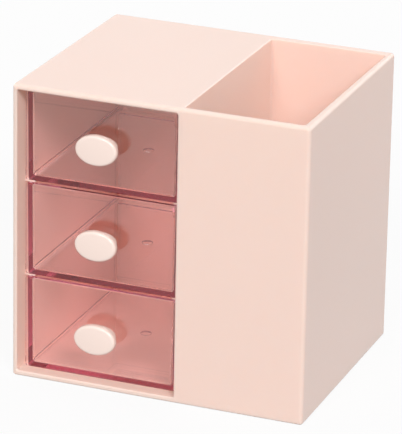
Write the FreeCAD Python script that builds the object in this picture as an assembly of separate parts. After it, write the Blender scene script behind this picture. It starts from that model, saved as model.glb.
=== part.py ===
"""Desk organizer: a drafted one-piece housing with a deep pen compartment on the right and a bay
with three clear drawers on the left. Each drawer is a tray with a mushroom knob, which a screw
holds from inside. Millimetres; +X right, +Y back, +Z up; the origin is the middle of the base."""
import FreeCAD
import Part
import math
import os

from FreeCAD import Vector

# Housing walls, left to right, front to back and bottom to top
SIDE_WALL = 2.3
BAY_WIDTH = 76.8
DIVIDER_WALL = 2.3
PEN_WIDTH = 55.8
PEN_SIDE_WALL = 3.5
PEN_FRONT_WALL = 2.5
PEN_BACK_WALL = 5.2
BACK_WALL = 2.5
FLOOR_WALL = 2.4
TOP_WALL = 2.6

# The sides and the deck close in towards the back, and the pen compartment towards its floor
HOUSING_DRAFT_DEG = 0.5
PEN_DRAFT_DEG = 0.5

# Radii and bevels of the housing
OUTER_EDGE_RADIUS = 1.7
BASE_EDGE_BEVEL = 0.6
BAY_CORNER_RADIUS = 1.0
PEN_CORNER_RADIUS = 1.5
BAY_MOUTH_BEVEL = 0.5
PEN_MOUTH_BEVEL = 0.3

# Drawers, one above the other. The top one's space ends at the deck, so it is a little lower
DRAWER_NAMES = ["bottom", "middle", "top"]
DRAWER_PITCH = 45.3
TOP_DRAWER_LOWER_BY = 0.9
FRONT_RECESS = 6.0
RUNNING_CLEARANCE = 0.3
SIDE_PLAY_TAKEN = 0.5

# Rails on both walls of the bay, under each drawer that doesn't run on the floor
RAIL_REACH = 5.0
RAIL_THICKNESS = 1.6
RAIL_FRONT_GAP = 1.0
RAIL_LEAD_IN_LENGTH = 2.0
RAIL_LEAD_IN_DROP = 1.0

# Tray with its front panel
TRAY_DEPTH = 104.0
TRAY_BACK_ROOM = 2.5
TRAY_SIDE_ROOM = 1.75
TRAY_HEADROOM = 0.8
TRAY_WALL = 1.8
TRAY_FLOOR = 2.0
TRAY_DRAFT_DEG = 0.5
TRAY_CORNER_RADIUS = 2.5
TRAY_BOTTOM_BEVEL = 0.5
TRAY_INNER_RADIUS = 1.5
TRAY_FLOOR_BEVEL = 0.8
PANEL_THICKNESS = 2.0
PANEL_SIDE_GAP = 1.0
PANEL_TOP_GAP = 0.4
PANEL_CORNER_RADIUS = 1.0
PANEL_EDGE_BEVEL = 0.4

# Round recess of the injection gate, under the tray a little behind its middle
GATE_RADIUS = 2.6
GATE_DEPTH = 0.7
GATE_BEHIND_MIDDLE = 3.0

# Mushroom knob
KNOB_WIDTH = 20.0
KNOB_HEIGHT = 14.2
KNOB_THICKNESS = 3.4
KNOB_CROWN = 0.5
KNOB_RIM_RADIUS = 1.1
KNOB_RIM_BANDS = 3
KNOB_BACK_BEVEL = 0.5
KNOB_DROP = 0.1
STEM_WIDTH = 14.8
STEM_HEIGHT = 9.0
STEM_LENGTH = 5.4
PIP_RADIUS = 1.0
PIP_LENGTH = 1.6
PIP_SPACING = 9.2
PIP_CLEARANCE = 0.1

# Pan-head screw with a bevelled head and a blunt tip
SCREW_RADIUS = 1.45
SCREW_LENGTH = 7.0
SCREW_TIP_BEVEL = 0.4
SCREW_HEAD_RADIUS = 2.8
SCREW_HEAD_HEIGHT = 1.9
SCREW_HEAD_BEVEL = 0.6
SCREW_CLEARANCE = 0.25
SCREW_PILOT_CLEARANCE = 0.05
SCREW_BORE_SPARE = 0.6
CROSS_WIDTH = 0.7
CROSS_LENGTH = 3.0
CROSS_DEPTH = 1.0

# Sizes that follow
HOUSING_WIDTH = SIDE_WALL + BAY_WIDTH + DIVIDER_WALL + PEN_WIDTH + PEN_SIDE_WALL
HOUSING_DEPTH = FRONT_RECESS + TRAY_DEPTH + TRAY_BACK_ROOM + BACK_WALL
LEVELS_BELOW_TOP = len(DRAWER_NAMES) - 1
TOP_DRAWER_SPACE = DRAWER_PITCH - TOP_DRAWER_LOWER_BY
HOUSING_HEIGHT = FLOOR_WALL + LEVELS_BELOW_TOP * DRAWER_PITCH + TOP_DRAWER_SPACE + TOP_WALL
BASE_MIDDLE = Vector(HOUSING_WIDTH / 2, HOUSING_DEPTH / 2, 0)
BAY_MIDDLE = SIDE_WALL + BAY_WIDTH / 2
PANEL_HEIGHT = TOP_DRAWER_SPACE - RUNNING_CLEARANCE - PANEL_TOP_GAP
TRAY_HEIGHT = DRAWER_PITCH - RUNNING_CLEARANCE - RAIL_THICKNESS - TRAY_HEADROOM
PANEL_BACK = FRONT_RECESS + PANEL_THICKNESS
KNOB_Z = PANEL_HEIGHT / 2 - KNOB_DROP


def lean(degrees, length):
    """How far a face with this draft moves over the length."""
    return math.tan(math.radians(degrees)) * length


def block_closing_back(x, y, z, side, top):
    """Block over the ranges x, y and z, whose sides and top close in by side and top at the back."""
    return Part.makeWedge(
        x[0], y[0], z[0], z[0], x[0] + side,
        x[1], y[1], z[1], z[1] - top, x[1] - side,
    )


def block_closing_down(x, y, z, side, front):
    """Block over the ranges x, y and z. At the bottom its front wall closes in by front, and the
    other three walls by side."""
    block = Part.makeWedge(
        x[0] + side, z[0], -(y[1] - side), -y[1], x[0],
        x[1] - side, z[1], -(y[0] + front), -y[0], x[1],
    )
    block.rotate(Vector(0, 0, 0), Vector(1, 0, 0), 90)
    return block


def edges_in(shape, low, high, reach=0.01):
    """Edges that lie wholly between the corners low and high, where None is no limit."""
    found = []
    for edge in shape.Edges:
        box = edge.BoundBox
        spans = [(box.XMin, box.XMax), (box.YMin, box.YMax), (box.ZMin, box.ZMax)]
        inside = True
        for span, bottom, top in zip(spans, low, high):
            if bottom is not None and span[0] < bottom - reach:
                inside = False
            if top is not None and span[1] > top + reach:
                inside = False
        if inside:
            found.append(edge)
    return found


def long_edges(shape, axis, share=0.9):
    """Edges that run nearly the whole length of the shape along the axis, 0 for X, 1 for Y, 2 for Z."""
    def span(box):
        return (box.XLength, box.YLength, box.ZLength)[axis]

    whole = span(shape.BoundBox)
    return [edge for edge in shape.Edges if span(edge.BoundBox) > share * whole]


def oval(width, height, y):
    """Oval outline across the Y axis, width along X and height along Z."""
    curve = Part.Ellipse(Vector(0, 0, 0), max(width, height) / 2, min(width, height) / 2)
    wire = Part.Wire(curve.toShape())
    if height > width:
        wire.rotate(Vector(0, 0, 0), Vector(0, 0, 1), 90)
    wire.rotate(Vector(0, 0, 0), Vector(1, 0, 0), 90)
    wire.translate(Vector(0, y, 0))
    return wire


def rod(radius, y_start, y_end, x=0.0, z=0.0):
    """Round rod along Y."""
    return Part.makeCylinder(radius, y_end - y_start, Vector(x, y_start, z), Vector(0, 1, 0))


def housing_shell():
    """Outer block with its rounded edges: closes in towards the back, flat underneath."""
    taper = lean(HOUSING_DRAFT_DEG, HOUSING_DEPTH)
    block = block_closing_back(
        (0, HOUSING_WIDTH), (0, HOUSING_DEPTH), (0, HOUSING_HEIGHT), taper, taper
    )
    base = edges_in(block, (None, None, None), (None, None, 0))
    base_keys = [edge.hashCode() for edge in base]
    upper = [edge for edge in block.Edges if edge.hashCode() not in base_keys]
    block = block.makeFillet(OUTER_EDGE_RADIUS, upper)
    base = edges_in(block, (None, None, None), (None, None, 0))
    return block.makeChamfer(BASE_EDGE_BEVEL, base)


def bay_space():
    """Space of the drawer bay, with the walls' draft and rounded long corners."""
    depth = HOUSING_DEPTH - BACK_WALL
    taper = lean(HOUSING_DRAFT_DEG, depth)
    space = block_closing_back(
        (SIDE_WALL, SIDE_WALL + BAY_WIDTH),
        (0, depth),
        (FLOOR_WALL, HOUSING_HEIGHT - TOP_WALL),
        taper,
        taper,
    )
    return space.makeFillet(BAY_CORNER_RADIUS, long_edges(space, 1))


def pen_space():
    """Space of the pen compartment, which closes in towards its floor, with rounded corners."""
    left = SIDE_WALL + BAY_WIDTH + DIVIDER_WALL
    taper = lean(PEN_DRAFT_DEG, HOUSING_HEIGHT - FLOOR_WALL)
    space = block_closing_down(
        (left, left + PEN_WIDTH),
        (PEN_FRONT_WALL, HOUSING_DEPTH - PEN_BACK_WALL),
        (FLOOR_WALL, HOUSING_HEIGHT),
        taper,
        taper,
    )
    floor = edges_in(space, (None, None, None), (None, None, FLOOR_WALL))
    return space.makeFillet(PEN_CORNER_RADIUS, long_edges(space, 2) + floor)


def rail(level, side):
    """One rail with its lead-in, on the left wall (side -1) or on the divider (side 1)."""
    start = PANEL_BACK + RAIL_FRONT_GAP
    end = HOUSING_DEPTH - BACK_WALL / 2
    top = FLOOR_WALL + level * DRAWER_PITCH
    profile = Part.makePolygon([
        Vector(0, start, top - RAIL_LEAD_IN_DROP),
        Vector(0, start + RAIL_LEAD_IN_LENGTH, top),
        Vector(0, end, top),
        Vector(0, end, top - RAIL_THICKNESS),
        Vector(0, start, top - RAIL_THICKNESS),
        Vector(0, start, top - RAIL_LEAD_IN_DROP),
    ])
    root = side * (BAY_WIDTH / 2 + SIDE_WALL / 2)
    inner = side * (BAY_WIDTH / 2 - RAIL_REACH)
    bar = Part.Face(profile).extrude(Vector(inner - root, 0, 0))
    bar.translate(Vector(BAY_MIDDLE + root, 0, 0))
    return bar


def housing():
    """The one-piece housing: shell, bay, pen compartment and the rails for the upper drawers."""
    body = housing_shell().cut(bay_space()).cut(pen_space())
    for level in range(1, len(DRAWER_NAMES)):
        for side in (-1, 1):
            body = body.fuse(rail(level, side))
    body = body.removeSplitter()
    bay_right = SIDE_WALL + BAY_WIDTH
    bay_mouth = edges_in(
        body, (SIDE_WALL, 0, FLOOR_WALL), (bay_right, 0, HOUSING_HEIGHT - TOP_WALL)
    )
    pen_left = bay_right + DIVIDER_WALL
    deck_back = HOUSING_HEIGHT - lean(HOUSING_DRAFT_DEG, HOUSING_DEPTH)
    body = body.makeChamfer(BAY_MOUTH_BEVEL, bay_mouth)
    pen_mouth = edges_in(
        body,
        (pen_left, PEN_FRONT_WALL, deck_back),
        (pen_left + PEN_WIDTH, HOUSING_DEPTH - PEN_BACK_WALL, HOUSING_HEIGHT),
    )
    return body.makeChamfer(PEN_MOUTH_BEVEL, pen_mouth)


def tray_body():
    """Outer block and inner space of the tray: walls that close in downwards, rounded corners. The
    front wall stands upright inside the front panel, so that the knob's screw has a flat seat."""
    half = BAY_WIDTH / 2 - TRAY_SIDE_ROOM
    back = FRONT_RECESS + TRAY_DEPTH
    side = lean(TRAY_DRAFT_DEG, TRAY_HEIGHT)
    inside_panel = FRONT_RECESS + PANEL_THICKNESS / 2
    outer = block_closing_down((-half, half), (inside_panel, back), (0, TRAY_HEIGHT), side, 0)
    corners = edges_in(outer, (None, back - 2 * side, None), (None, None, None))
    uprights = [edge for edge in corners if edge.BoundBox.ZLength > TRAY_HEIGHT / 2]
    outer = outer.makeFillet(TRAY_CORNER_RADIUS, uprights)
    bottom = edges_in(outer, (None, None, None), (None, None, 0))
    outer = outer.makeChamfer(TRAY_BOTTOM_BEVEL, bottom)

    inner = block_closing_down(
        (TRAY_WALL - half, half - TRAY_WALL),
        (PANEL_BACK, back - TRAY_WALL),
        (TRAY_FLOOR, TRAY_HEIGHT),
        lean(TRAY_DRAFT_DEG, TRAY_HEIGHT - TRAY_FLOOR),
        0,
    )
    inner = inner.makeFillet(TRAY_INNER_RADIUS, long_edges(inner, 2))
    floor = edges_in(inner, (None, None, None), (None, None, TRAY_FLOOR))
    inner = inner.makeChamfer(TRAY_FLOOR_BEVEL, floor)
    return outer, inner


def front_panel():
    """Front panel: wider and taller than the tray, so that it hides the rails."""
    half = BAY_WIDTH / 2 - PANEL_SIDE_GAP
    panel = Part.makeBox(2 * half, PANEL_THICKNESS, PANEL_HEIGHT, Vector(-half, FRONT_RECESS, 0))
    panel = panel.makeFillet(PANEL_CORNER_RADIUS, long_edges(panel, 1))
    rim = edges_in(panel, (None, FRONT_RECESS, None), (None, FRONT_RECESS, None))
    return panel.makeChamfer(PANEL_EDGE_BEVEL, rim)


def tray():
    """Tray and front panel as one moulding, with the knob's holes and the gate's recess."""
    outer, inner = tray_body()
    body = outer.fuse(front_panel()).cut(inner)
    screw_hole = rod(SCREW_RADIUS + SCREW_CLEARANCE, 0, PANEL_BACK, 0, KNOB_Z)
    body = body.cut(screw_hole)
    for side in (-1, 1):
        x = side * PIP_SPACING / 2
        body = body.cut(rod(PIP_RADIUS + PIP_CLEARANCE, 0, PANEL_BACK, x, KNOB_Z))
    gate_place = Vector(0, FRONT_RECESS + TRAY_DEPTH / 2 + GATE_BEHIND_MIDDLE, 0)
    gate = Part.makeCylinder(GATE_RADIUS, GATE_DEPTH, gate_place)
    return body.cut(gate).removeSplitter()


def knob_head(front, back):
    """Oval head from front to back: a rim rounded in narrow bands, and a crown ground over it."""
    rings = []
    for band in range(KNOB_RIM_BANDS + 1):
        turn = math.radians(90) * band / KNOB_RIM_BANDS
        inset = KNOB_RIM_RADIUS * (1 - math.sin(turn))
        y = front + KNOB_RIM_RADIUS * (1 - math.cos(turn))
        rings.append(oval(KNOB_WIDTH - 2 * inset, KNOB_HEIGHT - 2 * inset, y))
    rings.append(oval(KNOB_WIDTH, KNOB_HEIGHT, back - KNOB_BACK_BEVEL))
    inset = KNOB_BACK_BEVEL
    rings.append(oval(KNOB_WIDTH - 2 * inset, KNOB_HEIGHT - 2 * inset, back))
    head = Part.makeLoft(rings, True, True)
    half = KNOB_WIDTH / 2
    crown_radius = (half * half + KNOB_CROWN * KNOB_CROWN) / (2 * KNOB_CROWN)
    return head.common(Part.makeSphere(crown_radius, Vector(0, front + crown_radius, 0)))


def knob():
    """Mushroom knob: a crowned oval head on an oval stem, with two pips and the screw's bore."""
    seat = FRONT_RECESS
    head_back = seat - STEM_LENGTH
    stem = Part.Face(oval(STEM_WIDTH, STEM_HEIGHT, head_back)).extrude(Vector(0, STEM_LENGTH, 0))
    body = knob_head(head_back - KNOB_THICKNESS, head_back).fuse(stem)
    for side in (-1, 1):
        x = side * PIP_SPACING / 2
        body = body.fuse(rod(PIP_RADIUS, head_back, seat + PIP_LENGTH, x))
    bore_end = PANEL_BACK - SCREW_LENGTH - SCREW_BORE_SPARE
    body = body.cut(rod(SCREW_RADIUS + SCREW_PILOT_CLEARANCE, bore_end, seat))
    body = body.removeSplitter()
    body.translate(Vector(0, 0, KNOB_Z))
    return body


def knob_screw():
    """Pan-head screw with a cross recess, its head against the inside of the front panel."""
    seat = PANEL_BACK
    tip = seat - SCREW_LENGTH
    top = seat + SCREW_HEAD_HEIGHT
    outline = Part.makePolygon([
        Vector(0, tip, 0),
        Vector(SCREW_RADIUS - SCREW_TIP_BEVEL, tip, 0),
        Vector(SCREW_RADIUS, tip + SCREW_TIP_BEVEL, 0),
        Vector(SCREW_RADIUS, seat, 0),
        Vector(SCREW_HEAD_RADIUS, seat, 0),
        Vector(SCREW_HEAD_RADIUS, top - SCREW_HEAD_BEVEL, 0),
        Vector(SCREW_HEAD_RADIUS - SCREW_HEAD_BEVEL, top, 0),
        Vector(0, top, 0),
        Vector(0, tip, 0),
    ])
    body = Part.Face(outline).revolve(Vector(0, 0, 0), Vector(0, 1, 0), 360)
    for width, height in ((CROSS_LENGTH, CROSS_WIDTH), (CROSS_WIDTH, CROSS_LENGTH)):
        corner = Vector(-width / 2, top - CROSS_DEPTH, -height / 2)
        body = body.cut(Part.makeBox(width, SCREW_HEAD_HEIGHT, height, corner))
    body.translate(Vector(0, 0, KNOB_Z))
    return body


def save(name, shape):
    """Move the piece so that the origin is the middle of the base, and write it."""
    placed = shape.copy()
    placed.translate(-BASE_MIDDLE)
    solids = placed.Solids
    if len(solids) != 1 or not placed.isValid():
        raise RuntimeError(f"{name}: {len(solids)} solids, valid {placed.isValid()}")
    solids[0].exportStep(os.path.join("parts", name + ".step"))
    print(name, "volume", round(solids[0].Volume, 1), "mm3")


def main():
    os.makedirs("parts", exist_ok=True)
    save("housing", housing())
    pieces = {"drawer_tray": tray(), "drawer_knob": knob(), "knob_screw": knob_screw()}
    for level, drawer in enumerate(DRAWER_NAMES):
        height = FLOOR_WALL + level * DRAWER_PITCH + RUNNING_CLEARANCE
        rest = Vector(BAY_MIDDLE + SIDE_PLAY_TAKEN, 0, height)
        for kind, piece in pieces.items():
            placed = piece.copy()
            placed.translate(rest)
            save(f"{kind}_{drawer}", placed)


main()
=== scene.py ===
import math

import bmesh
import bpy
from mathutils import Euler, Matrix, Vector


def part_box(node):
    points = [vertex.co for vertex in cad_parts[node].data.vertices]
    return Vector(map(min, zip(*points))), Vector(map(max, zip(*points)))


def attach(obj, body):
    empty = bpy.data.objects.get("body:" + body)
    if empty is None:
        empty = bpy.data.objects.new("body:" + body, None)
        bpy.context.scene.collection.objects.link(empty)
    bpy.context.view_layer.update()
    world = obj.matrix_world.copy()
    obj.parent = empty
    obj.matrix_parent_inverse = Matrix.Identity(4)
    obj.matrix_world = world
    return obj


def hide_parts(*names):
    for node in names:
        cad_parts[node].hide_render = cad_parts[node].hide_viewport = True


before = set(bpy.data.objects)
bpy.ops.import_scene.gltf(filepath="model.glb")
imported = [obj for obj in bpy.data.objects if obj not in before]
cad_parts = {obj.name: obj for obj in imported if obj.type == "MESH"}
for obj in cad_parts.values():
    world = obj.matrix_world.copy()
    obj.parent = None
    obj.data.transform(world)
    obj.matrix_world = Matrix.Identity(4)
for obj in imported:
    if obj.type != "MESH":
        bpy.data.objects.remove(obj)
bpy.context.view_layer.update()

# Camera
# A long lens looks down at the organizer from its front right, so that the front, the right side
# and the deck show. The picture is 402 by 434, and the sensor's size is that of its long side.
AZIMUTH_DEG = 21.246
ELEVATION_DEG = 21.083
ROLL_DEG = 1.121
AIM = Vector((-0.00128, -0.00146, 0.06801))
AIM_DISTANCE = 1.71835
LENS_MM = 312.75

camera_turn = Euler((math.radians(90 - ELEVATION_DEG), 0, math.radians(AZIMUTH_DEG))).to_matrix()
camera_turn = camera_turn @ Matrix.Rotation(math.radians(ROLL_DEG), 3, "Z")
camera_place = AIM + camera_turn @ Vector((0, 0, AIM_DISTANCE))
photo_camera = bpy.data.cameras.new("photo_camera")
photo_camera.lens = LENS_MM
camera = bpy.data.objects.new("camera", photo_camera)
camera.matrix_world = Matrix.Translation(camera_place) @ camera_turn.to_4x4()
bpy.context.scene.collection.objects.link(camera)
bpy.context.scene.camera = camera
bpy.context.scene.view_settings.view_transform = "Standard"


# Room
# A white floor under an even white sky, with four large soft lamps: in front, at the front right and
# two behind. Camera and reflections see plain white, and the floor keeps a faint shadow.
WHITE = (1, 1, 1, 1)
FLOOR_HALF = 3.0
FLOOR_WHITE = (0.80, 0.80, 0.80, 1)
FLOOR_BOUNCE = (0.35, 0.35, 0.35, 1)
SHADOW_KEPT = 0.10
SKY_LEVEL = 0.45
LAMPS = {
    "front_key": {"towards": (-0.04, -0.84, 0.54), "level": 1.02, "spread_deg": 18},
    "right_key": {"towards": (0.54, -0.61, 0.58), "level": 1.48, "spread_deg": 18},
    "left_fill": {"towards": (-0.85, 0.42, 0.30), "level": 0.80, "spread_deg": 36},
    "back_fill": {"towards": (0.30, 0.90, 0.30), "level": 0.45, "spread_deg": 36},
}


class Wire:
    """An output socket that takes part in sums: each operator adds its Math node."""

    def __init__(self, tree, socket):
        self.tree = tree
        self.socket = socket

    def maths(self, operation, *values):
        sockets = dict(enumerate(values))
        return add_node(self.tree, "ShaderNodeMath", {"operation": operation}, sockets)

    def __add__(self, other):
        return self.maths("ADD", self, other)

    def __radd__(self, other):
        return self.maths("ADD", other, self)

    def __sub__(self, other):
        return self.maths("SUBTRACT", self, other)

    def __rsub__(self, other):
        return self.maths("SUBTRACT", other, self)

    def __mul__(self, other):
        return self.maths("MULTIPLY", self, other)

    def __rmul__(self, other):
        return self.maths("MULTIPLY", other, self)


def add_node(tree, kind, settings=None, sockets=None, output=0):
    """Add a node: its settings first, then the values or links of its sockets."""
    node = tree.nodes.new(kind)
    for name, value in (settings or {}).items():
        setattr(node, name, value)
    for key, value in (sockets or {}).items():
        if isinstance(value, Wire):
            tree.links.new(value.socket, node.inputs[key])
        else:
            node.inputs[key].default_value = value
    return Wire(tree, node.outputs[output])


def new_material(name):
    """A material with nothing in it."""
    material = bpy.data.materials.new(name)
    material.use_nodes = True
    material.node_tree.nodes.clear()
    return material


def finish_material(material, surface, volume=None):
    """Link the surface, and the volume if there is one, to the material's output."""
    sockets = {"Surface": surface}
    if volume:
        sockets["Volume"] = volume
    node = material.node_tree.nodes.new("ShaderNodeOutputMaterial")
    for key, value in sockets.items():
        material.node_tree.links.new(value.socket, node.inputs[key])


def background_ray(tree):
    """1 for a ray that shows the background: from the camera, a reflection or clear plastic."""
    names = ("Is Camera Ray", "Is Glossy Ray", "Is Transmission Ray")
    seen, mirrored, through = [add_node(tree, "ShaderNodeLightPath", output=name) for name in names]
    return seen.maths("MAXIMUM", seen.maths("MAXIMUM", seen, mirrored), through)


world = bpy.data.worlds.new("room")
world.use_nodes = True
world.node_tree.nodes.clear()
sky = world.node_tree
strength = SKY_LEVEL + (1 - SKY_LEVEL) * background_ray(sky)
background = add_node(sky, "ShaderNodeBackground", sockets={"Color": WHITE, "Strength": strength})
sky_output = sky.nodes.new("ShaderNodeOutputWorld")
sky.links.new(background.socket, sky_output.inputs["Surface"])
world.cycles.sampling_method = "NONE"
bpy.context.scene.world = world

floor_mesh = bpy.data.meshes.new("floor")
floor_corners = [(x * FLOOR_HALF, y * FLOOR_HALF, 0) for x, y in ((-1, -1), (1, -1), (1, 1), (-1, 1))]
floor_mesh.from_pydata(floor_corners, [], [(0, 1, 2, 3)])
floor = bpy.data.objects.new("floor", floor_mesh)
bpy.context.scene.collection.objects.link(floor)

# The floor gives back less light than it shows: light from below would reach the object's outside
# and never its insides, and so leave them dull beside it.
floor_paint = new_material("floor_paint")
tree = floor_paint.node_tree
matt = add_node(tree, "ShaderNodeBsdfDiffuse", sockets={"Color": FLOOR_WHITE})
white = add_node(tree, "ShaderNodeEmission", sockets={"Color": WHITE, "Strength": 1.0})
shown = add_node(tree, "ShaderNodeMixShader", sockets={0: 1 - SHADOW_KEPT, 1: matt, 2: white})
bouncing = add_node(tree, "ShaderNodeBsdfDiffuse", sockets={"Color": FLOOR_BOUNCE})
surface = add_node(
    tree, "ShaderNodeMixShader", sockets={0: background_ray(tree), 1: bouncing, 2: shown}
)
finish_material(floor_paint, surface)
floor_mesh.materials.append(floor_paint)

for name, values in LAMPS.items():
    lamp_light = bpy.data.lights.new(name, "SUN")
    lamp_light.energy = values["level"]
    lamp_light.angle = math.radians(values["spread_deg"])
    lamp = bpy.data.objects.new(name, lamp_light)
    lamp.rotation_euler = Vector(values["towards"]).to_track_quat("Z", "Y").to_euler()
    bpy.context.scene.collection.objects.link(lamp)


# Housing
# One moulding of pink plastic: the walls, the divider, the deck, the pen compartment and the rails.
# Its skin has the fine texture of a spark-eroded mould, and light spreads in its thin walls.
HOUSING_PINK = (0.970, 0.720, 0.635, 1)
HOUSING_PINK_DEEP = (0.963, 0.707, 0.620, 1)
HOUSING_CLOUDS = 9.0
MOULD_GRAIN = 1400.0
MOULD_GRAIN_DEPTH = 0.0002
HOUSING_GRAIN = 0.12
HOUSING_ROUGHNESS = 0.42
HOUSING_ROUGHNESS_CHANGE = 0.08
LIGHT_SPREAD = 0.004
LIGHT_SPREAD_BY_COLOUR = (1.0, 0.85, 0.75)
LIGHT_SPREAD_SHARE = 0.45
BODY_GLOSS = 0.08
SKIN_GLOSS = 0.6
SKIN_ROUGHNESS = 0.12


def noise(tree, scale, detail):
    """Noise that stays with the piece."""
    place = add_node(tree, "ShaderNodeTexCoord", output="Object")
    sockets = {"Vector": place, "Scale": scale, "Detail": detail}
    return add_node(tree, "ShaderNodeTexNoise", sockets=sockets)


def grain_bump(tree, grain, strength):
    """The bump that the mould's grain leaves in a skin."""
    sockets = {"Strength": strength, "Distance": MOULD_GRAIN_DEPTH, "Height": grain}
    return add_node(tree, "ShaderNodeBump", sockets=sockets)


def dress(node, material):
    """Give a CAD node its material."""
    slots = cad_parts[node].material_slots
    if not slots:
        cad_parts[node].data.materials.append(material)
    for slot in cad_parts[node].material_slots:
        slot.material = material


housing_plastic = new_material("housing_plastic")
tree = housing_plastic.node_tree
clouds = noise(tree, HOUSING_CLOUDS, detail=2.0)
grain = noise(tree, MOULD_GRAIN, detail=3.0)
colour = add_node(
    tree,
    "ShaderNodeMix",
    {"data_type": "RGBA"},
    {0: clouds, 6: HOUSING_PINK, 7: HOUSING_PINK_DEEP},
    output=2,
)
shell = add_node(
    tree,
    "ShaderNodeBsdfPrincipled",
    sockets={
        "Base Color": colour,
        "Roughness": HOUSING_ROUGHNESS + HOUSING_ROUGHNESS_CHANGE * (grain - 0.5),
        "Subsurface Weight": LIGHT_SPREAD_SHARE,
        "Subsurface Radius": LIGHT_SPREAD_BY_COLOUR,
        "Subsurface Scale": LIGHT_SPREAD,
        "Specular IOR Level": BODY_GLOSS,
        "Coat Weight": SKIN_GLOSS,
        "Coat Roughness": SKIN_ROUGHNESS,
        "Normal": grain_bump(tree, grain, HOUSING_GRAIN),
    },
)
finish_material(housing_plastic, shell)
dress("housing", housing_plastic)


# Drawer trays
# Three mouldings of clear rose-tinted polystyrene, each with its front panel. The tint is in the
# plastic, so the thin walls look pale and the edges, which are seen along the wall, look dark.
DRAWERS = ["bottom", "middle", "top"]
TRAY_IOR = 1.55
TRAY_TINT = (0.99, 0.28, 0.35, 1)
TRAY_DENSITY = 46.0
LAMP_PASS = (1.0, 0.95, 0.95, 1)
GUIDED_DEPTH = 3.5
REST_OF_WAY = (0.94, 0.88, 1.0, 1)

tray_plastic = new_material("tray_plastic")
tree = tray_plastic.node_tree
clear = add_node(
    tree,
    "ShaderNodeBsdfPrincipled",
    sockets={
        "Base Color": WHITE,
        "Roughness": 0.0,
        "IOR": TRAY_IOR,
        "Transmission Weight": 1.0,
    },
)

# Lamps shine through the walls, and light that was mirrored often inside a wall leaves it.
lamp_ray = add_node(tree, "ShaderNodeLightPath", output="Is Shadow Ray")
passing = add_node(tree, "ShaderNodeBsdfTransparent", sockets={"Color": LAMP_PASS})
surface = add_node(tree, "ShaderNodeMixShader", sockets={0: lamp_ray, 1: clear, 2: passing})
mirrorings = add_node(tree, "ShaderNodeLightPath", output="Glossy Depth")
guided = mirrorings.maths("GREATER_THAN", mirrorings, GUIDED_DEPTH)
leaving = add_node(tree, "ShaderNodeBsdfTransparent", sockets={"Color": REST_OF_WAY})
surface = add_node(tree, "ShaderNodeMixShader", sockets={0: guided, 1: surface, 2: leaving})
tint = add_node(
    tree, "ShaderNodeVolumeAbsorption", sockets={"Color": TRAY_TINT, "Density": TRAY_DENSITY}
)
finish_material(tray_plastic, surface, tint)

# Light that is scattered by other pieces passes the trays too, and so reaches the bay behind them.
for drawer in DRAWERS:
    dress("drawer_tray_" + drawer, tray_plastic)
    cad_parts["drawer_tray_" + drawer].visible_diffuse = False


# Knobs
# Oval mushroom knobs of pale cream-pink plastic: a crowned head with a soft rim, an oval stem that
# stands on the front panel, and two pips in the panel's holes, which keep the knob from turning.
MILLIMETRE = 0.001
KNOB_CREAM = (0.97, 0.79, 0.71, 1)
KNOB_ROUGHNESS = 0.20
KNOB_ROUGHNESS_CHANGE = 0.06
KNOB_GRAIN = 0.04
KNOB_HEAD = (10.0, 7.1)
KNOB_THICKNESS = 3.4
KNOB_RIM = 1.1
KNOB_RIM_RINGS = 10
KNOB_RIM_MARGIN = 0.01
KNOB_BACK_RIM = 0.5
KNOB_BACK_RIM_RINGS = 5
KNOB_CROWN_RADIUS = 96.0
KNOB_CROWN_SHARES = (0, 0.1, 0.3, 0.5, 0.7, 0.85, 1)
KNOB_STEM = (7.4, 4.5)
KNOB_STEM_LENGTH = 5.38
KNOB_STEM_ROOT = 0.9
KNOB_STEM_ROOT_RINGS = 6
KNOB_FOOT = ((0, -1.0), (0, -0.15), (0.04, -0.06), (0.15, 0), (1.0, 0))
KNOB_STEPS = 120
PIP_RADIUS = 1.0
PIP_LENGTH = 1.6
PIP_PLACE = 4.6
PIP_ROOT = -1.0
PIP_END = ((0.3, 1), (0.1, 0.93), (0, 0.75))
PIP_STEPS = 40


def quarter(steps):
    """Sines and cosines of the angles from 0 to 90 degrees, without the first."""
    angles = [math.radians(90) * step / steps for step in range(1, steps + 1)]
    return [(math.sin(angle), math.cos(angle)) for angle in angles]


def turned(rings, around, middle=(0, 0), wave=None):
    """Points and faces of a closed oval body along Y. Each ring is (half width, half height, y); the
    first and the last are points on the axis. A wave adds to the radius at an angle and a y."""
    points = []
    faces = []
    for number, (half_width, half_height, y) in enumerate(rings):
        for step in range(around if 0 < number < len(rings) - 1 else 1):
            angle = 2 * math.pi * step / around
            more = wave(angle, y) if wave else 0
            x = middle[0] + (half_width + more) * math.cos(angle)
            points.append((x, y, middle[1] + (half_height + more) * math.sin(angle)))
    last = len(points) - 1
    for step in range(around):
        after = (step + 1) % around
        faces.append((0, 1 + after, 1 + step))
        for number in range(len(rings) - 3):
            low = 1 + number * around
            high = low + around
            faces.append((low + step, low + after, high + after, high + step))
        faces.append((last, last - around + step, last - around + after))
    return points, faces


def solid_mesh(name, bodies):
    """One smooth mesh of several closed bodies, in millimetres, with its faces outwards."""
    mesh = bpy.data.meshes.new(name)
    points = []
    faces = []
    for body_points, body_faces in bodies:
        faces += [tuple(corner + len(points) for corner in face) for face in body_faces]
        points += [[value * MILLIMETRE for value in point] for point in body_points]
    mesh.from_pydata(points, [], faces)
    shape = bmesh.new()
    shape.from_mesh(mesh)
    bmesh.ops.recalc_face_normals(shape, faces=shape.faces)
    shape.to_mesh(mesh)
    shape.free()
    mesh.shade_smooth()
    return mesh


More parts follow.
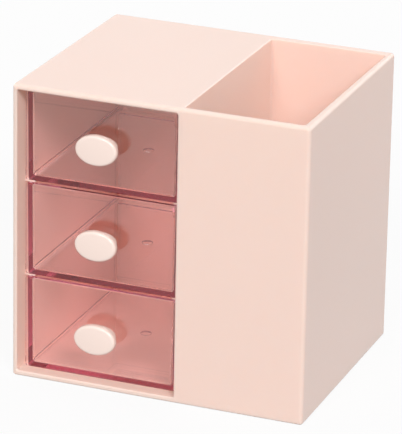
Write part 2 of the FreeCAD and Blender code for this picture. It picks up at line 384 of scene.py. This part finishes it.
def knob_rings():
    """The knob from the middle of its crown to the seat on the panel, which is at 0."""
    front = -KNOB_STEM_LENGTH - KNOB_THICKNESS
    back = -KNOB_STEM_LENGTH
    wide, high = KNOB_HEAD
    stem_wide, stem_high = KNOB_STEM
    rings = []
    for share in KNOB_CROWN_SHARES:
        rings.append((share * (wide - KNOB_RIM), share * (high - KNOB_RIM), front))
    for sine, cosine in quarter(KNOB_RIM_RINGS):
        inset = KNOB_RIM * (1 - sine)
        rings.append((wide - inset, high - inset, front + KNOB_RIM * (1 - cosine)))
    rings.append((wide, high, back - KNOB_BACK_RIM))
    for sine, cosine in quarter(KNOB_BACK_RIM_RINGS):
        inset = KNOB_BACK_RIM * (1 - cosine)
        rings.append((wide - inset, high - inset, back - KNOB_BACK_RIM * (1 - sine)))
    for sine, cosine in [(0, 1)] + quarter(KNOB_STEM_ROOT_RINGS):
        out = KNOB_STEM_ROOT * (1 - sine)
        rings.append((stem_wide + out, stem_high + out, back + KNOB_STEM_ROOT * (1 - cosine)))
    for inset, y in KNOB_FOOT:
        rings.append((stem_wide - inset, stem_high - inset, y))
    rings.append((0, 0, 0))
    return rings


def pip_rings():
    """A pip from inside the stem to its rounded end behind the panel's front."""
    rings = [(0, 0, PIP_ROOT), (PIP_RADIUS, PIP_RADIUS, PIP_ROOT)]
    for from_end, share in PIP_END:
        rings.append((share * PIP_RADIUS, share * PIP_RADIUS, PIP_LENGTH - from_end))
    return rings + [(0, 0, PIP_LENGTH)]


def crowned(points):
    """The knob's points with the middle of its front standing proud of the rim."""
    rim_ends = -KNOB_STEM_LENGTH - KNOB_THICKNESS + KNOB_RIM
    raised = []
    for x, y, z in points:
        in_front = y < rim_ends + KNOB_RIM_MARGIN
        bulge = (x * x + z * z) / (2 * KNOB_CROWN_RADIUS) if in_front else 0
        raised.append((x, y + bulge, z))
    return raised


def placing_tree():
    """A tree that sets a copy of a model at a place: the same piece on every drawer."""
    tree = bpy.data.node_groups.new("set_in_place", "GeometryNodeTree")
    kinds = {
        "Geometry": "NodeSocketGeometry",
        "Model": "NodeSocketObject",
        "Place": "NodeSocketVector",
        "Finish": "NodeSocketMaterial",
    }
    for name, kind in kinds.items():
        tree.interface.new_socket(name, in_out="INPUT", socket_type=kind)
    tree.interface.new_socket("Geometry", in_out="OUTPUT", socket_type="NodeSocketGeometry")
    given = tree.nodes.new("NodeGroupInput")
    model, place, finish = [Wire(tree, given.outputs[name]) for name in ("Model", "Place", "Finish")]
    shape = add_node(
        tree, "GeometryNodeObjectInfo", sockets={"Object": model}, output="Geometry"
    )
    spot = add_node(tree, "GeometryNodePoints", sockets={"Count": 1, "Position": place})
    copies = add_node(
        tree, "GeometryNodeInstanceOnPoints", sockets={"Points": spot, "Instance": shape}
    )
    real = add_node(tree, "GeometryNodeRealizeInstances", sockets={"Geometry": copies})
    dressed = add_node(
        tree, "GeometryNodeSetMaterial", sockets={"Geometry": real, "Material": finish}
    )
    result = tree.nodes.new("NodeGroupOutput")
    tree.links.new(dressed.socket, result.inputs["Geometry"])
    return tree


def set_piece(name, model, place, finish):
    """A plain mesh object of the model at the place, made by the placing tree."""
    carrier = bpy.data.objects.new(name, bpy.data.meshes.new(name))
    bpy.context.scene.collection.objects.link(carrier)
    modifier = carrier.modifiers.new("place", "NODES")
    modifier.node_group = set_in_place
    values = {"Model": model, "Place": place, "Finish": finish}
    for item in set_in_place.interface.items_tree:
        if item.in_out == "INPUT" and item.name in values:
            modifier[item.identifier] = values[item.name]
    evaluated = carrier.evaluated_get(bpy.context.evaluated_depsgraph_get())
    made = bpy.data.meshes.new_from_object(evaluated)
    made.name = name
    carrier.modifiers.remove(modifier)
    carrier.data = made
    return carrier


knob_plastic = new_material("knob_plastic")
tree = knob_plastic.node_tree
grain = noise(tree, MOULD_GRAIN, detail=2.0)
cream = add_node(
    tree,
    "ShaderNodeBsdfPrincipled",
    sockets={
        "Base Color": KNOB_CREAM,
        "Roughness": KNOB_ROUGHNESS + KNOB_ROUGHNESS_CHANGE * (grain - 0.5),
        "Normal": grain_bump(tree, grain, KNOB_GRAIN),
    },
)
finish_material(knob_plastic, cream)

set_in_place = placing_tree()
knob_points, knob_faces = turned(knob_rings(), KNOB_STEPS)
knob_bodies = [(crowned(knob_points), knob_faces)]
for side in (-1, 1):
    knob_bodies.append(turned(pip_rings(), PIP_STEPS, (side * PIP_PLACE, 0)))
knob_model = bpy.data.objects.new("knob_model", solid_mesh("knob_model", knob_bodies))
for drawer in DRAWERS:
    low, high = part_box("drawer_knob_" + drawer)
    seat_y = low[1] + (KNOB_STEM_LENGTH + KNOB_THICKNESS) * MILLIMETRE
    place = ((low[0] + high[0]) / 2, seat_y, (low[2] + high[2]) / 2)
    knob = set_piece("knob_" + drawer, knob_model, place, knob_plastic)
    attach(knob, "drawer_" + drawer)
    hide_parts("drawer_knob_" + drawer)


# Knob screws
# Zinc-plated pan-head screws with a cross recess and a coarse thread, each driven from inside the
# tray through the front panel into its knob.
SCREW_GREY = (0.74, 0.73, 0.70, 1)
SCREW_ROUGHNESS = 0.26
SCREW_ROUGHNESS_CHANGE = 0.12
SCREW_CLOUDS = 900.0
SCREW_HEAD_RADIUS = 2.8
SCREW_HEAD_HEIGHT = 1.9
SCREW_HEAD_WALL = 0.6
SCREW_HEAD_BEVEL = 0.08
SCREW_HEAD_STEPS = 64
SCREW_SEAT_RING = 2.0
SCREW_DOME_RINGS = 14
SCREW_DOME_POWER = 0.6
SCREW_CORE_RADIUS = 1.1
SCREW_TIP_SHARE = 0.35
SCREW_LENGTH = 7.0
SCREW_TIP = 1.3
SCREW_IN_HEAD = 0.3
SCREW_SHAFT_RINGS = 104
SCREW_SHAFT_STEPS = 48
THREAD_HEIGHT = 0.34
THREAD_PITCH = 1.1
THREAD_STEEPNESS = 2.4
THREAD_STOPS = 0.5
THREAD_FADE = 0.6
CROSS_HALF_WIDTH = 0.42
CROSS_HALF_LENGTH = 1.5
CROSS_DEPTH = 1.25
CROSS_POINT = 0.25
CROSS_ABOVE = 0.4
CROSS_TAPER = (0.55, 1.05)
SHARP_EDGE_DEG = 40


def thread(angle, y):
    """How far the thread stands out of the core at an angle and a y; it fades at tip and head."""
    turn = (y / THREAD_PITCH - angle / (2 * math.pi)) % 1
    crest = max(0.0, 1 - abs(2 * turn - 1) * THREAD_STEEPNESS)
    from_tip = (y + SCREW_LENGTH) / SCREW_TIP
    from_head = (-THREAD_STOPS - y) / THREAD_FADE
    return THREAD_HEIGHT * crest * max(0.0, min(1.0, from_tip, from_head))


def shaft_rings():
    """The screw's core from its tip, which narrows, to a little inside the head."""
    rings = [(0, 0, -SCREW_LENGTH)]
    for step in range(SCREW_SHAFT_RINGS + 1):
        y = -SCREW_LENGTH + (SCREW_LENGTH + SCREW_IN_HEAD) * step / SCREW_SHAFT_RINGS
        share = SCREW_TIP_SHARE + (1 - SCREW_TIP_SHARE) * (y + SCREW_LENGTH) / SCREW_TIP
        radius = SCREW_CORE_RADIUS * min(1.0, share)
        rings.append((radius, radius, y))
    return rings + [(0, 0, SCREW_IN_HEAD)]


def head_rings():
    """The pan head from its seat, at 0, over an upright wall to the middle of its dome."""
    seat = SCREW_HEAD_RADIUS - SCREW_HEAD_BEVEL
    outline = [(0, 0), (SCREW_SEAT_RING, 0), (seat, 0)]
    outline += [(SCREW_HEAD_RADIUS, SCREW_HEAD_BEVEL), (SCREW_HEAD_RADIUS, SCREW_HEAD_WALL)]
    for sine, cosine in quarter(SCREW_DOME_RINGS)[:-1]:
        rise = (SCREW_HEAD_HEIGHT - SCREW_HEAD_WALL) * sine
        outline.append((SCREW_HEAD_RADIUS * cosine ** SCREW_DOME_POWER, SCREW_HEAD_WALL + rise))
    outline.append((0, SCREW_HEAD_HEIGHT))
    return [(radius, radius, y) for radius, y in outline]


def cross_body():
    """The tapered cross that is cut out of the head, with its point inwards."""
    narrow, wide = CROSS_HALF_WIDTH, CROSS_HALF_LENGTH
    quarter_outline = [(wide, -narrow), (wide, narrow), (narrow, narrow)]
    outline = []
    for _ in range(4):
        outline += quarter_outline
        quarter_outline = [(-z, x) for x, z in quarter_outline]
    floor_y = SCREW_HEAD_HEIGHT - CROSS_DEPTH
    top_y = SCREW_HEAD_HEIGHT + CROSS_ABOVE
    points = [(0, floor_y - CROSS_POINT, 0)]
    for y, share in zip((floor_y, top_y), CROSS_TAPER):
        points += [(x * share, y, z * share) for x, z in outline]
    points.append((0, top_y, 0))
    around = len(outline)
    faces = []
    for corner in range(around):
        low = 1 + corner
        low_after = 1 + (corner + 1) % around
        faces.append((0, low, low_after))
        faces.append((low, low + around, low_after + around, low_after))
        faces.append((len(points) - 1, low_after + around, low + around))
    return points, faces


screw_steel = new_material("screw_steel")
tree = screw_steel.node_tree
clouds = noise(tree, SCREW_CLOUDS, detail=3.0)
steel = add_node(
    tree,
    "ShaderNodeBsdfPrincipled",
    sockets={
        "Base Color": SCREW_GREY,
        "Roughness": SCREW_ROUGHNESS + SCREW_ROUGHNESS_CHANGE * (clouds - 0.5),
        "Metallic": 1.0,
    },
)
finish_material(screw_steel, steel)

head_mesh = solid_mesh("screw_head", [turned(head_rings(), SCREW_HEAD_STEPS)])
screw_head = bpy.data.objects.new("screw_head", head_mesh)
cross = bpy.data.objects.new("cross", solid_mesh("cross", [cross_body()]))
for tool in (screw_head, cross):
    bpy.context.scene.collection.objects.link(tool)
recess = screw_head.modifiers.new("recess", "BOOLEAN")
recess.operation = "DIFFERENCE"
recess.solver = "EXACT"
recess.object = cross
evaluated = screw_head.evaluated_get(bpy.context.evaluated_depsgraph_get())
screw_mesh = bpy.data.meshes.new_from_object(evaluated)
for tool in (screw_head, cross):
    bpy.data.objects.remove(tool)

shaft = turned(shaft_rings(), SCREW_SHAFT_STEPS, wave=thread)
shape = bmesh.new()
shape.from_mesh(screw_mesh)
shape.from_mesh(solid_mesh("screw_shaft", [shaft]))
shape.to_mesh(screw_mesh)
shape.free()
screw_mesh.set_sharp_from_angle(angle=math.radians(SHARP_EDGE_DEG))
screw_model = bpy.data.objects.new("screw_model", screw_mesh)
for drawer in DRAWERS:
    low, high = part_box("knob_screw_" + drawer)
    seat_y = high[1] - SCREW_HEAD_HEIGHT * MILLIMETRE
    place = ((low[0] + high[0]) / 2, seat_y, (low[2] + high[2]) / 2)
    screw = set_piece("screw_" + drawer, screw_model, place, screw_steel)
    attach(screw, "drawer_" + drawer)
    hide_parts("knob_screw_" + drawer)
for model in (knob_model, screw_model):
    bpy.data.objects.remove(model)
